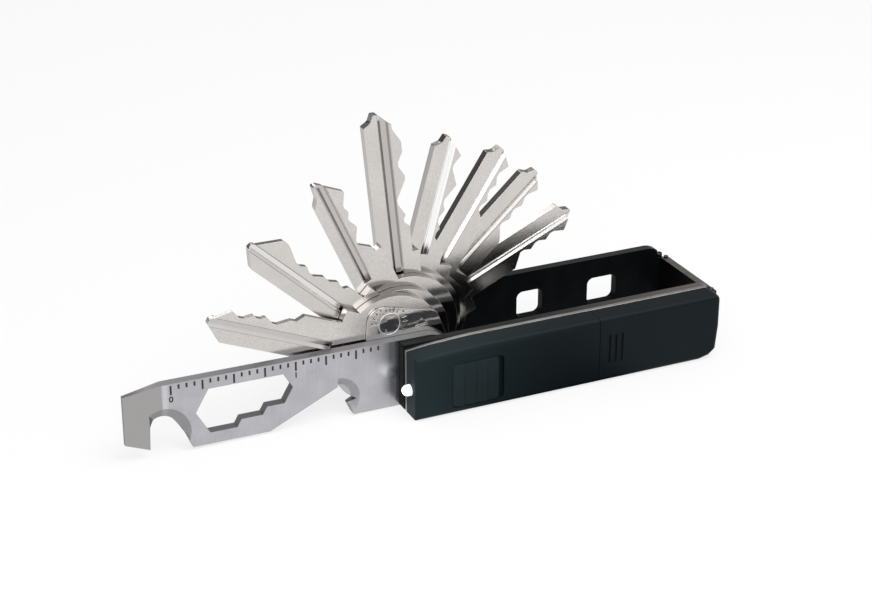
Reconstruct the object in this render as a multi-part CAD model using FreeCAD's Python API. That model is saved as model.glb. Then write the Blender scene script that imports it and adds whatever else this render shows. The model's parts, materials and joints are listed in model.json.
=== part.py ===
import FreeCAD, Part
import os
from math import cos, sin, tan, radians, sqrt

# A pocket key organiser: two side plates joined at one end by a bridge, and at the
# other by a pivot screw in a sleeve. A flat multitool and eight cut keys turn on the
# sleeve, each in its own layer. A slim torch module sits on the outside of the near
# plate, with a slide switch and a battery cover.
# Millimetres. X runs along the case from the pivot axis, Y across it from the middle
# of the near side plate, Z up from the long edge that the case stands on.

V = FreeCAD.Vector

# ---- side plates ----
plate_thickness = 2.0
plate_height = 14.25
plate_left = -6.1
plate_right = 67.0
plate_end_radius = 4.5
plate_corner_radius = 0.4
pivot_height = 7.3

# spacer under the keys, measured from the pivot axis
hub_outline = [(-12.6, 4.0, 2.0), (-11.6, 14.9, 3.2), (3.2, 11.2, 2.0), (5.6, 4.6, 3.0), (5.2, -5.7, 3.0),
               (-9.0, -6.3, 4.0)]
hub_window = [(-1.9, 8.2, 0), (1.2, 8.6, 0), (-0.2, 10.3, 0)]

# windows through the side plates: left edge, length
windows = [(30.24, 6.2), (47.55, 7.15)]
window_bottom = 3.65
window_height = 6.1
window_radius = 1.5

# ---- layers between the plates ----
layer_gap = 0.1
tool_thickness = 2.1
hub_disc_thickness = 0.4
key_thickness = 1.9
key_pitch = 2.054
washer_thickness = 0.4
spring_thickness = 0.3
spring_rise = 0.2

# ---- keys, measured along the blade from the pivot, and across it towards the spine ----
# lean: angle from the folded place. length: pivot to tip. spine, edge: the blade's two long sides.
# cuts: where each cut of the lock code lies and how far across its floor is.
# tip: spine corner and cut-side corner, back from the tip, and where the point lies across.
# groove: low side, high side and root of the milled groove.
# head: where the round head's centre lies along and across, and its radius.
# shoulder: where it stops, and its depth.
keys = [
    {"lean": 157.4, "length": 47.7, "spine": 4.2, "edge": -4.6, "tip": (3.4, 3.8, 0.9),
     "cuts": [(30.6, -3.1), (34.3, -1.7), (38.1, -2.15), (41.6, -1.5)],
     "groove": (-0.3, 1.45, 21.0), "head": (7.6, -1.8, 11.3), "shoulder": (20.5, 7.4)},
    {"lean": 137.2, "length": 46.3, "spine": 4.35, "edge": -3.7, "tip": (3.0, 4.7, 1.2),
     "cuts": [(24.6, -2.9), (28.3, -2.4), (31.9, -1.45), (35.6, -1.6)],
     "groove": (0.1, 1.65, 20.2), "head": (6.3, -1.6, 10.5), "shoulder": (19.3, 6.1)},
    {"lean": 113.9, "length": 45.0, "spine": 4.4, "edge": -2.4, "tip": (4.3, 4.3, 2.6),
     "cuts": [(29.4, 0.0), (34.6, -0.6), (37.6, -0.85)],
     "groove": (0.8, 2.4, 20.5), "head": (6.3, -1.3, 11.2), "shoulder": (25.7, 4.2)},
    {"lean": 95.5, "length": 52.4, "spine": 4.5, "edge": -3.0, "tip": (2.3, 2.8, 2.0),
     "cuts": [(28.8, -1.9), (33.2, -0.9), (41.0, -1.9), (49.2, -1.35)],
     "groove": (-0.6, 1.5, 15.4), "head": (6.3, -1.5, 10.7), "shoulder": (21.8, 4.4)},
    {"lean": 74.5, "length": 45.4, "spine": 4.9, "edge": -3.0, "tip": (2.4, 3.6, 2.6),
     "cuts": [(24.5, -0.35), (28.0, -0.1), (31.8, -0.3), (39.3, -0.35)],
     "groove": (0.7, 2.0, 20.3), "head": (6.3, -1.5, 10.7), "shoulder": (18.4, 5.9)},
    {"lean": 56.9, "length": 45.3, "spine": 4.9, "edge": -2.9, "tip": (2.2, 2.7, 2.6),
     "cuts": [(32.4, -0.15), (36.2, -0.15), (40.0, -0.1)],
     "groove": (0.7, 1.8, 18.4), "head": (6.3, -1.0, 10.5), "shoulder": (18.4, 5.9)},
    {"lean": 42.4, "length": 45.2, "spine": 4.75, "edge": -2.9, "tip": (2.3, 2.7, 2.4),
     "cuts": [(32.2, -0.15), (36.0, -0.15), (39.9, -0.1)],
     "groove": (0.4, 1.7, 19.2), "head": (6.3, -0.5, 10.2), "shoulder": (18.4, 5.9)},
    {"lean": 24.5, "length": 46.1, "spine": 4.7, "edge": -2.9, "tip": (2.3, 3.0, 2.0),
     "cuts": [(32.8, -0.15), (36.6, -0.15), (40.4, -0.2)],
     "groove": (0.5, 1.9, 18.6), "head": (6.3, 0.0, 9.6), "shoulder": (18.4, 5.9)},
]
blade_start = 6.3
blade_reach = 8.0
cut_flat = 0.5
cut_slope = 0.55
ramp_slope = 1.1
beak_depth = 1.0
groove_depth = 0.55
groove_wall = 0.7
# the back of a blade is milled thinner than the head along its cut side
edge_relief = 0.7

# ---- multitool, measured from the pivot towards its tip ----
tool_lean = 179.5
tool_top = 7.3
tool_bottom = 7.2
tool_length = 62.9
bevel_start = 55.2
tip_thickness = 0.9
tip_top = 6.0
tip_bottom = 4.3
hex_sizes = [9.525, 7.9375, 6.35]
hex_centres = [43.3, 37.5, 32.5]
# coned bevels in the front face, round the bottle opener and the hook:
# centre along, centre up, wide and narrow radius, depth, reach past the centre, lean of its end
opener_bevel = (55.5, -3.4, 5.7, 3.6, 1.2, 2.7, 1.2)
hook_bevel = (19.4, -3.2, 4.7, 3.0, 0.9, 0.0, 0.0)

# ---- pivot ----
sleeve_radius = 2.0
sleeve_bore = 1.3
running_gap = 0.05
screw_head_radius = 3.2
screw_head_height = 1.2
screw_fit = 0.02
socket_width = 2.0
socket_depth = 0.7
nut_radius = 2.6
washer_radius = 4.5

# ---- end bridge ----
bridge_thickness = 2.0
bridge_overhang = 1.0
bridge_bottom = 3.0
bridge_top = 11.6
bridge_round = 0.4
tab_height = 5.0
tab_depth = 2.0
knuckle_radius = 0.5
knuckle_rise = 0.4
# upright pins that hold the bridge's tabs in the plates
pin_radius = 0.45
pin_inset = 1.0
pin_bottom = 6.5
pin_head_radius = 0.8
pin_head_bottom = 11.6
pin_head_height = 0.75
# the plates' corners are stepped down to seat the pins' heads
step_margin = 0.2

# ---- torch module, on the outside of the near plate ----
base_thickness = 1.0
module_depth = 4.9
module_left = -5.9
module_right = 64.2
module_rise = 0.15
module_round = 1.1
module_corner = 1.3
module_crown = 0.85
crown_run = 14.0
toe_run = 4.0
toe_rise = 1.9
toe_inset = 0.5
seam_at = 35.3
seam_gap = 0.1
shell_wall = 0.8
front_wall = 1.2
switch_wall = 1.6
end_wall = 1.2
cover_end_wall = 2.3

# finger grooves across the cover, beside the seam
cover_grooves = [37.6, 39.05, 40.5]
cover_groove_width = 0.55
cover_groove_depth = 0.35
cover_groove_height = 6.4

# slide switch, in a recess in the front face
recess_left = 1.97
recess_right = 13.44
recess_height = 9.8
recess_drop = 1.0
recess_depth = 0.9
recess_radius = 1.0
slider_gap = 0.13
slider_travel = 1.1
slider_proud = 0.1
slider_ridges = 4
ridge_depth = 0.3
stem_width = 2.4
stem_reach = 2.2
stem_gap = 0.3

# lamp in the module's left end
lamp_y = -3.7
lamp_drop = 1.4
lens_radius = 1.2
lens_proud = 0.25
reflector_length = 2.0
reflector_rim = 0.15
emitter_radius = 0.7
emitter_length = 1.4

board_thickness = 0.8
board_right = 33.0
board_margin = 1.6
board_lift = 0.2
switch_length = 6.6
switch_width = 4.4
switch_depth = 1.6

# button cells side by side under the cover
cell_side_gap = 0.15
cell_thickness = 1.6
cell_centres = [42.1, 55.1]
cell_gap = 0.1
contact_thickness = 0.25
contact_width = 2.0
contact_length = 9.0

# rails on the base plate, and the lips of the cover that slide on them
rail_left = 36.0
rail_right = 61.0
rail_web = 0.6
rail_inset = 1.9
rail_height = 1.2
rail_flange = 0.7
rail_flange_thickness = 0.5
lip_thickness = 0.5
lip_gap = 0.1

module_screw_at = [17.0, 29.5]
module_screw_radius = 0.8
module_screw_head = 1.6
module_screw_head_height = 0.8
module_screw_reach = 2.6
boss_width = 3.0
boss_gap = 0.2

# ---- worked out ----
near_inner = plate_thickness / 2
near_outer = -plate_thickness / 2
tool_front = near_inner + layer_gap
tool_back = tool_front + tool_thickness
disc_front = tool_back + layer_gap
first_key_front = disc_front + hub_disc_thickness + layer_gap
last_key_back = first_key_front + (len(keys) - 1) * key_pitch + key_thickness
washer_front = last_key_back + layer_gap
spring_front = washer_front + washer_thickness
far_inner = spring_front + spring_rise + spring_thickness
far_outer = far_inner + plate_thickness
base_front = near_outer - base_thickness
module_front = base_front - module_depth
bridge_right = plate_right + bridge_overhang
bridge_left = bridge_right - bridge_thickness
tab_left = plate_right - tab_depth
pin_at = plate_right - pin_inset
pivot_bore = sleeve_radius + running_gap
module_height = plate_height + module_rise
module_middle = module_height / 2
slot_middle = module_middle - recess_drop
recess_bottom = slot_middle - recess_height / 2
recess_top = slot_middle + recess_height / 2
lamp_z = module_middle - lamp_drop
cell_radius = module_middle - shell_wall - cell_side_gap
cell_back = module_front + front_wall + cell_gap + cell_thickness


def point(x, z, y=0.0):
    return V(x, y, z)


def rounded(corners):
    # closed wire in the XZ plane through corners (x, z, radius)
    edges = []
    spots = []
    count = len(corners)
    for i in range(count):
        here = point(corners[i][0], corners[i][1])
        before = point(corners[i - 1][0], corners[i - 1][1])
        after = point(corners[(i + 1) % count][0], corners[(i + 1) % count][1])
        radius = corners[i][2]
        if radius <= 0:
            spots.append((here, None, here))
            continue
        back = (before - here).normalize()
        ahead = (after - here).normalize()
        half = back.getAngle(ahead) / 2
        reach = radius / tan(half)
        start = here + back * reach
        end = here + ahead * reach
        inward = (back + ahead).normalize()
        centre = here + inward * (radius / sin(half))
        middle = centre - inward * radius
        spots.append((start, middle, end))
    for i in range(count):
        start, middle, end = spots[i]
        if middle is not None:
            edges.append(Part.Arc(start, middle, end).toShape())
        following = spots[(i + 1) % count][0]
        if end.distanceToPoint(following) > 1e-6:
            edges.append(Part.LineSegment(end, following).toShape())
    return Part.Wire(edges)


def path(steps):
    # closed wire in the XZ plane: each step is (x, z), or (x, z, x, z) for an arc through a point
    edges = []
    here = point(steps[0][-2], steps[0][-1])
    for step in steps[1:] + [steps[0][-2:]]:
        following = point(step[-2], step[-1])
        if here.distanceToPoint(following) < 1e-6:
            continue
        if len(step) == 4:
            edges.append(Part.Arc(here, point(step[0], step[1]), following).toShape())
        else:
            edges.append(Part.LineSegment(here, following).toShape())
        here = following
    return Part.Wire(edges)


def layer(wire, front, back):
    # a plate of this outline between two Y positions
    flat = Part.Face(wire)
    flat.translate(V(0, front, 0))
    return flat.extrude(V(0, back - front, 0))


def box(x0, x1, y0, y1, z0, z1):
    return Part.makeBox(x1 - x0, y1 - y0, z1 - z0, V(x0, y0, z0))


def bar(radius, y0, y1, x=0.0, z=pivot_height):
    return Part.makeCylinder(radius, y1 - y0, V(x, y0, z), V(0, 1, 0))


def rounded_box(x0, x1, z0, z1, radius):
    return rounded([(x0, z0, radius), (x1, z0, radius), (x1, z1, radius), (x0, z1, radius)])


def turned(shape, lean):
    # a piece drawn along +X from the pivot, leant up to its angle and set on the pivot axis
    shape.rotate(V(0, 0, 0), V(0, -1, 0), lean)
    shape.translate(V(0, 0, pivot_height))
    return shape


def hexagon(width, x=0.0, z=0.0):
    # flats at the top and bottom
    corner = width / sqrt(3)
    steps = []
    for k in range(6):
        angle = radians(60 * k)
        steps.append((x + corner * cos(angle), z + corner * sin(angle)))
    return path(steps)


def edges_at(shape, test):
    return [edge for edge in shape.Edges if test(edge.BoundBox)]


# ---- side plates and bridge ----
def side_plate(front, bore):
    end = plate_end_radius
    corner = plate_corner_radius
    outline = rounded([(plate_left, 0, corner), (plate_right, 0, end),
                       (plate_right, plate_height, end), (plate_left, plate_height, corner)])
    back = front + plate_thickness
    plate = layer(outline, front, back)
    for left, length in windows:
        hole = rounded_box(left, left + length, window_bottom, window_bottom + window_height, window_radius)
        plate = plate.cut(layer(hole, front, back))
    plate = plate.cut(bar(bore, front, back))
    low, high = tab_span()
    plate = plate.cut(box(tab_left, plate_right, front, back, low, high))
    plate = plate.cut(pin_shank((front + back) / 2, screw_fit))
    step = pin_at - pin_head_radius - step_margin
    return plate.cut(box(step, plate_right, front, back, pin_head_bottom, plate_height))


def tab_span():
    middle = (bridge_bottom + bridge_top) / 2
    return middle - tab_height / 2, middle + tab_height / 2


def near_side_plate():
    plate = side_plate(near_outer, nut_radius)
    for x in module_screw_at:
        plate = plate.cut(bar(module_screw_radius + screw_fit, near_outer, near_inner, x))
        plate = plate.cut(screw_head(x, screw_fit))
    return plate


def far_side_plate():
    plate = side_plate(far_inner, sleeve_bore + screw_fit)
    seat = bar(screw_head_radius + running_gap, far_outer - screw_head_height, far_outer)
    return plate.cut(seat)


def end_bridge():
    web = box(bridge_left, bridge_right, near_inner, far_inner, bridge_bottom, bridge_top)
    rim = edges_at(web, lambda b: b.YLength > 1 and b.XMin > bridge_left + 1e-6)
    web = web.makeFillet(bridge_round, rim)
    low, high = tab_span()
    tabs = box(tab_left, plate_right, near_outer, far_outer, low, high)
    tabs = tabs.cut(box(tab_left, bridge_left, near_inner, far_inner, low, high))
    whole = web.fuse(tabs)
    for y in (near_inner + knuckle_radius, far_inner - knuckle_radius):
        place = V((bridge_left + bridge_right) / 2, y, bridge_top)
        whole = whole.fuse(Part.makeCylinder(knuckle_radius, knuckle_rise, place))
    whole = whole.removeSplitter()
    for y in pin_places():
        whole = whole.cut(pin_shank(y, screw_fit))
    return whole


def pin_places():
    return [(near_outer + near_inner) / 2, (far_inner + far_outer) / 2]


def pin_shank(y, gap):
    low = pin_bottom - gap
    return Part.makeCylinder(pin_radius + gap, pin_head_bottom + gap - low, V(pin_at, y, low))


def bridge_pins():
    pins = []
    for y in pin_places():
        head = Part.makeCylinder(pin_head_radius, pin_head_height, V(pin_at, y, pin_head_bottom))
        pins.append(pin_shank(y, 0).fuse(head).removeSplitter())
    return Part.makeCompound(pins)


# ---- pivot ----
def pivot_sleeve():
    return bar(sleeve_radius, near_inner, far_inner).cut(bar(sleeve_bore, near_inner, far_inner))


def pivot_screw():
    shank = bar(sleeve_bore - screw_fit, near_outer, far_outer - screw_head_height)
    head = bar(screw_head_radius, far_outer - screw_head_height, far_outer)
    socket = hexagon(socket_width, 0, pivot_height)
    return head.fuse(shank).cut(layer(socket, far_outer - socket_depth, far_outer)).removeSplitter()


def pivot_nut():
    return bar(nut_radius, near_outer, near_inner).cut(bar(sleeve_bore, near_outer, near_inner))


def washer_ring(front, back):
    return bar(washer_radius, front, back).cut(bar(pivot_bore, front, back))


def flat_washer():
    return washer_ring(washer_front, spring_front)


def disc_spring():
    # a coned ring: its inner edge bears on the washer, its outer edge on the far plate
    y0 = spring_front
    y1 = spring_front + spring_rise
    corners = [(pivot_bore, y0), (washer_radius, y1), (washer_radius, far_inner),
               (pivot_bore, y0 + spring_thickness)]
    ring = Part.makePolygon([V(r, y, 0) for r, y in corners + corners[:1]])
    cone = Part.Face(ring).revolve(V(0, 0, 0), V(0, 1, 0), 360)
    cone.translate(V(0, 0, pivot_height))
    return cone


def hub_disc():
    # thin spacer with a lobed outline and a three-cornered hole
    back = disc_front + hub_disc_thickness
    disc = layer(rounded(hub_outline), disc_front, back)
    disc = disc.cut(layer(rounded(hub_window), disc_front, back))
    disc = disc.cut(Part.makeCylinder(pivot_bore, hub_disc_thickness, V(0, disc_front, 0), V(0, 1, 0)))
    return turned(disc, 0)


# ---- keys ----
def cut_corners(key):
    # the cut side of a blade from the shoulder to the tip; neighbouring slopes meet in a peak,
    # or leave a stretch of the uncut edge between them
    cuts = key["cuts"]
    edge = key["edge"]
    corner_at = key["length"] - key["tip"][1]
    first_at, first_floor = cuts[0]
    corners = [(first_at - cut_flat - (first_floor - edge) / ramp_slope, edge)]
    for i, (at, floor) in enumerate(cuts):
        corners.append((at - cut_flat, floor))
        corners.append((at + cut_flat, floor))
        if i + 1 == len(cuts):
            break
        next_at, next_floor = cuts[i + 1]
        gap = next_at - at - 2 * cut_flat
        peak = (floor + next_floor - cut_slope * gap) / 2
        if peak > edge:
            corners.append((at + cut_flat + (floor - peak) / cut_slope, peak))
        else:
            corners.append((at + cut_flat + (floor - edge) / cut_slope, edge))
            corners.append((next_at - cut_flat - (next_floor - edge) / cut_slope, edge))
    last_at, last_floor = cuts[-1]
    fall = (corner_at - last_at - cut_flat) * cut_slope
    if last_floor - fall < edge:
        corners.append((last_at + cut_flat + (last_floor - edge) / cut_slope, edge))
    corners.append((corner_at, max(edge, last_floor - fall)))
    return corners


def blade_outline(key):
    length = key["length"]
    stop, depth = key["shoulder"]
    spine_run, teeth_run, point_at = key["tip"]
    corners = [(blade_start, -depth, 0), (stop - 0.1, -depth, 0), (stop, key["edge"], 0)]
    corners = corners + [(x, z, 0) for x, z in cut_corners(key)]
    corners.append((length - 0.1, point_at - 0.7, 0))
    corners.append((length, point_at + 0.3, 0))
    if point_at > 1.5:
        # hooked point: the spine side is cut back below the corner
        middle = (key["spine"] + point_at) / 2
        corners.append((length - spine_run * 0.65, middle - beak_depth / 4, beak_depth))
    corners.append((length - spine_run, key["spine"], 0))
    corners.append((blade_start, key["spine"], 0))
    return rounded(corners)


def groove_cut(key, front):
    # square at its low side, sloping out at its high side
    low, high, root = key["groove"]
    spots = [(low, -1), (low, groove_depth), (high - groove_wall, groove_depth), (high, 0), (high, -1)]
    section = Part.makePolygon([V(root, front + y, z) for z, y in spots + spots[:1]])
    return Part.Face(section).extrude(V(key["length"] - root + 1, 0, 0))


def back_relief(key, back):
    # what the mill takes off the back of the blade, up to the groove's low side
    low = key["groove"][0]
    return box(key["shoulder"][0], key["length"] + 1, back - edge_relief, back, -blade_reach, low)


def cut_key(index):
    key = keys[index]
    front = first_key_front + index * key_pitch
    back = front + key_thickness
    along, across, radius = key["head"]
    blade = layer(blade_outline(key), front, back)
    blade = blade.cut(groove_cut(key, front)).cut(back_relief(key, back))
    head = Part.makeCylinder(radius, key_thickness, V(along, front, across), V(0, 1, 0))
    root = key["groove"][2]
    head = head.cut(groove_cut(key, front)) if root < along + radius else head
    whole = blade.fuse(head).removeSplitter()
    whole = whole.cut(Part.makeCylinder(pivot_bore, key_thickness, V(0, front, 0), V(0, 1, 0)))
    return turned(whole, key["lean"])


# ---- multitool ----
def tool_outline():
    return path([
        (0, tool_top), (bevel_start, tool_top), (tool_length, tip_top),
        (tool_length, -tip_bottom), (58.1, -6.07), (57.9, -1.4),
        (55.5, 0.25, 52.75, -1.24), (51.0, -4.0, 49.6, -tool_bottom),
        (33.8, -tool_bottom), (18.9, -0.2),
        (17.6, -2.3, 15.3, -3.85), (17.15, -4.8), (16.06, -tool_bottom),
        (0, -tool_bottom), (-tool_bottom, 0, 0, tool_top)])


def hex_gauge(front, back):
    # three spanner hexagons whose top flats share one line
    top = hex_sizes[0] / 2
    gauge = None
    for size, centre in zip(hex_sizes, hex_centres):
        cell = layer(hexagon(size, centre, top - size / 2), front, back)
        gauge = cell if gauge is None else gauge.fuse(cell)
    left = hex_centres[-1]
    right = hex_centres[0]
    middle = top - hex_sizes[-1] / 2
    bridge = box(left, right, front, back, middle, top)
    return gauge.fuse(bridge).removeSplitter()


def tip_wedge(side):
    # the waste that thins one face of the screwdriver tip
    face = tool_front if side < 0 else tool_back
    tip = (tool_front + tool_back) / 2 + side * tip_thickness / 2
    far = face + side
    spots = [(bevel_start, face), (tool_length, tip), (tool_length + 1, tip), (tool_length + 1, far),
             (bevel_start, far)]
    edge = Part.makePolygon([V(x, y, -tool_top - 1) for x, y in spots + spots[:1]])
    return Part.Face(edge).extrude(V(0, 0, 2 * tool_top + 2))


def sunk_bevel(bevel):
    # the coned cut, ended by a leaning face past its centre
    at, up, wide, narrow, depth, past, lean = bevel
    cone = Part.makeCone(wide, narrow, depth, V(at, tool_front, up), V(0, 1, 0))
    spots = [(at - wide, tool_front), (at + past, tool_front), (at + past - lean, tool_front + depth),
             (at - wide, tool_front + depth)]
    edge = Part.makePolygon([V(x, y, -tool_top - 1) for x, y in spots + spots[:1]])
    return cone.common(Part.Face(edge).extrude(V(0, 0, 2 * tool_top + 2)))


def multitool():
    plate = layer(tool_outline(), tool_front, tool_back)
    plate = plate.cut(sunk_bevel(opener_bevel)).cut(sunk_bevel(hook_bevel))
    plate = plate.cut(hex_gauge(tool_front, tool_back))
    plate = plate.cut(tip_wedge(-1)).cut(tip_wedge(1))
    plate = plate.cut(Part.makeCylinder(pivot_bore, tool_thickness, V(0, tool_front, 0), V(0, 1, 0)))
    plate = plate.mirror(V(0, 0, 0), V(1, 0, 0))
    return turned(plate, tool_lean - 180)


# ---- torch module ----
def module_outline():
    # square lamp end with a falling top edge, swept-up toe at the cover end
    right = module_right
    top = module_height
    heel = right - toe_inset - toe_run
    return rounded([
        (module_left, 0, 0), (heel, 0, 0), (heel + toe_run * 0.6, toe_rise * 0.3, 0),
        (right - toe_inset, toe_rise, 0), (right, module_middle, 0), (right, top, module_corner),
        (module_left + crown_run, top, 0), (module_left + crown_run / 3, top - 0.45 * module_crown, 0),
        (module_left, top - module_crown, 0)])


def module_block():
    block = layer(module_outline(), module_front, base_front)
    rim = edges_at(block, lambda b: b.YMax < module_front + 1e-6)
    return block.makeFillet(module_round, rim)


def module_part(left, right):
    # the stretch of the rounded block between two places along it
    return module_block().common(box(left, right, module_front - 1, base_front, -1, module_height + 1))


def post(x, half, y0, y1):
    # square post on the line of the pivot's height
    return box(x - half, x + half, y0, y1, pivot_height - half, pivot_height + half)


def lower_rail():
    # L-section rail on the base plate; a lip of the cover slides in its throat
    web = rail_inset
    flange_back = base_front - rail_height + rail_flange_thickness
    rail = box(rail_left, rail_right, base_front - rail_height, base_front, web, web + rail_web)
    flange = box(rail_left, rail_right, base_front - rail_height, flange_back, web - rail_flange, web)
    return rail.fuse(flange)


def flipped(shape):
    # the same piece at the other long edge of the module
    other = shape.mirror(V(0, 0, module_middle), V(0, 0, 1))
    return other


def light_base_plate():
    plate = layer(module_outline(), base_front, near_outer)
    plate = plate.fuse(lower_rail()).fuse(flipped(lower_rail())).removeSplitter()
    for x in module_screw_at:
        plate = plate.cut(bar(module_screw_radius + screw_fit, base_front, near_outer, x))
    return plate


def light_housing():
    shell = module_part(module_left - 1, seam_at - seam_gap / 2)
    inner = module_front + switch_wall
    cavity = box(module_left + end_wall, seam_at - end_wall, inner, base_front,
                 shell_wall, module_height - 2 * shell_wall)
    shell = shell.cut(cavity)
    for x in module_screw_at:
        boss = post(x, boss_width / 2, inner, base_front)
        bore = bar(module_screw_radius, base_front - module_screw_reach, base_front, x)
        shell = shell.fuse(boss).cut(bore)
    recess = rounded_box(recess_left, recess_right, recess_bottom, recess_top, recess_radius)
    shell = shell.cut(layer(recess, module_front - 1, module_front + recess_depth))
    left, right = stem_span()
    reach = stem_width / 2 + stem_gap
    shell = shell.cut(box(left - stem_gap, right + slider_travel + stem_gap, module_front, inner,
                          slot_middle - reach, slot_middle + reach))
    lamp = Part.makeCylinder(lens_radius, end_wall + 1, V(module_left - 1, lamp_y, lamp_z), V(1, 0, 0))
    return shell.cut(lamp).removeSplitter()


def stem_span():
    left = recess_left + slider_gap
    right = recess_right - slider_travel - slider_gap
    middle = (left + right) / 2
    return middle - stem_width / 2, middle + stem_width / 2


def slide_switch():
    left = recess_left + slider_gap
    right = recess_right - slider_travel - slider_gap
    floor = module_front + recess_depth - layer_gap
    top = module_front - slider_proud
    outline = rounded_box(left, right, recess_bottom + slider_gap, recess_top - slider_gap,
                          recess_radius - slider_gap)
    pad = layer(outline, top, floor)
    ridge = (right - left) / slider_ridges
    for k in range(slider_ridges):
        start = left + k * ridge
        spots = [(start, top - 1), (start + ridge, top - 1), (start + ridge, top), (start, top + ridge_depth)]
        edge = Part.makePolygon([V(x, y, 0) for x, y in spots + spots[:1]])
        pad = pad.cut(Part.Face(edge).extrude(V(0, 0, module_height)))
    left, right = stem_span()
    half = stem_width / 2
    stem = box(left, right, floor, floor + stem_reach, slot_middle - half, slot_middle + half)
    return pad.fuse(stem).removeSplitter()


def battery_cover():
    shell = module_part(seam_at + seam_gap / 2, module_right + 1)
    cavity = box(seam_at, module_right - cover_end_wall, module_front + front_wall, base_front,
                 shell_wall, module_height - shell_wall)
    shell = shell.cut(cavity)
    lip_front = base_front - lip_gap - lip_thickness
    lip = box(rail_left, rail_right, lip_front, base_front - lip_gap, shell_wall - 0.1,
              rail_inset - lip_gap)
    shell = shell.fuse(lip).fuse(flipped(lip))
    half = cover_groove_width / 2
    rise = cover_groove_height / 2
    for x in cover_grooves:
        shell = shell.cut(box(x - half, x + half, module_front - 1, module_front + cover_groove_depth,
                              module_middle - rise, module_middle + rise))
    return shell.removeSplitter()


def module_screws():
    screws = []
    for x in module_screw_at:
        shank = bar(module_screw_radius, base_front - module_screw_reach, near_inner, x)
        screws.append(shank.fuse(screw_head(x, 0)).removeSplitter())
    return Part.makeCompound(screws)


def screw_head(x, gap):
    # sunk flush with the inner face of the near plate
    return bar(module_screw_head + gap, near_inner - module_screw_head_height, near_inner, x)


def led_lens():
    front = module_left - lens_proud
    length = end_wall + lens_proud
    return Part.makeCylinder(lens_radius - screw_fit, length, V(front, lamp_y, lamp_z), V(1, 0, 0))


def led_reflector():
    start = module_left + end_wall
    outer = Part.makeCylinder(lens_radius, reflector_length, V(start, lamp_y, lamp_z), V(1, 0, 0))
    mouth = lens_radius - reflector_rim
    bowl = Part.makeCone(mouth, emitter_radius, reflector_length, V(start, lamp_y, lamp_z), V(1, 0, 0))
    return outer.cut(bowl)


def led_emitter():
    start = module_left + end_wall + reflector_length
    return Part.makeCylinder(emitter_radius, emitter_length, V(start, lamp_y, lamp_z), V(1, 0, 0))


def circuit_board():
    left = module_left + end_wall + reflector_length + emitter_length
    back = base_front - board_lift
    board = box(left, board_right, back - board_thickness, back, board_margin, module_height - board_margin)
    for x in module_screw_at:
        board = board.cut(post(x, boss_width / 2 + boss_gap, back - board_thickness, back))
    return board


def inner_switch():
    left, right = stem_span()
    middle = (left + right + slider_travel) / 2
    back = base_front - board_lift - board_thickness
    front = back - switch_depth
    body = box(middle - switch_length / 2, middle + switch_length / 2, front, back,
               slot_middle - switch_width / 2, slot_middle + switch_width / 2)
    reach = stem_width / 2 + stem_gap
    throat = box(left - stem_gap, right + slider_travel + stem_gap, front, front + 1.1,
                 slot_middle - reach, slot_middle + reach)
    return body.cut(throat)


def coin_cells():
    cells = []
    for x in cell_centres:
        cells.append(bar(cell_radius, cell_back - cell_thickness, cell_back, x, module_middle))
    return Part.makeCompound(cells)


def battery_contacts():
    # spring strips, bent so that they stand on the base plate and press on the cells
    strips = []
    for x in cell_centres:
        half = contact_length / 2
        rise = base_front - cell_back
        t = contact_thickness
        foot = half - 1.5
        crest = half - 2.5
        spots = [(-half, 0), (-foot, 0), (-crest, t - rise), (crest, t - rise), (foot, 0), (half, 0),
                 (half, -t), (foot + t, -t), (crest + t, -rise), (-crest - t, -rise), (-foot - t, -t),
                 (-half, -t)]
        spots = [(x + a, base_front + b) for a, b in spots]
        edge = Part.makePolygon([V(a, b, 0) for a, b in spots + spots[:1]])
        strip = Part.Face(edge).extrude(V(0, 0, contact_width))
        strip.translate(V(0, 0, module_middle - contact_width / 2))
        strips.append(strip)
    return Part.makeCompound(strips)


nodes = {
    "near_side_plate": near_side_plate, "far_side_plate": far_side_plate, "end_bridge": end_bridge,
    "bridge_pins": bridge_pins,
    "pivot_sleeve": pivot_sleeve, "pivot_screw": pivot_screw, "pivot_nut": pivot_nut,
    "hub_disc": hub_disc, "flat_washer": flat_washer, "disc_spring": disc_spring,
    "multitool": multitool,
    "light_base_plate": light_base_plate, "light_housing": light_housing,
    "battery_cover": battery_cover, "slide_switch": slide_switch, "module_screws": module_screws,
    "led_lens": led_lens, "led_reflector": led_reflector, "led_emitter": led_emitter,
    "circuit_board": circuit_board, "inner_switch": inner_switch,
    "coin_cells": coin_cells, "battery_contacts": battery_contacts,
}

os.makedirs("parts", exist_ok=True)
for name, make in nodes.items():
    shape = make()
    shape.exportStep("parts/" + name + ".step")
    print(name, len(shape.Solids), shape.isValid(), round(shape.Volume, 1))
for index in range(len(keys)):
    shape = cut_key(index)
    shape.exportStep("parts/key_" + str(index + 1) + ".step")
    print("key", index + 1, len(shape.Solids), shape.isValid(), round(shape.Volume, 1))
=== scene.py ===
import json
from math import cos, pi, radians, sin
import bmesh
import bpy
from mathutils import Matrix, Vector


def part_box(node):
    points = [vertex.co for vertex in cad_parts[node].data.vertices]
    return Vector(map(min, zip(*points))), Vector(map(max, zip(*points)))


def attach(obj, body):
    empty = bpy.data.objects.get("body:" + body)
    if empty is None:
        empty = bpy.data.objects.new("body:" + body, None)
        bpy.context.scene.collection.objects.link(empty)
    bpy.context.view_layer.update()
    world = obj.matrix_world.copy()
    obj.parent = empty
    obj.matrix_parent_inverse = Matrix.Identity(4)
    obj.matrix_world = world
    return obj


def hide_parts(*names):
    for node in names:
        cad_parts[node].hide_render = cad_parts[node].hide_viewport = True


# A pocket key organiser with a fan of cut keys, a flat multitool and a slim torch.
# Lengths in the dictionaries are millimetres and turns are degrees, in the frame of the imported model.

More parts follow.
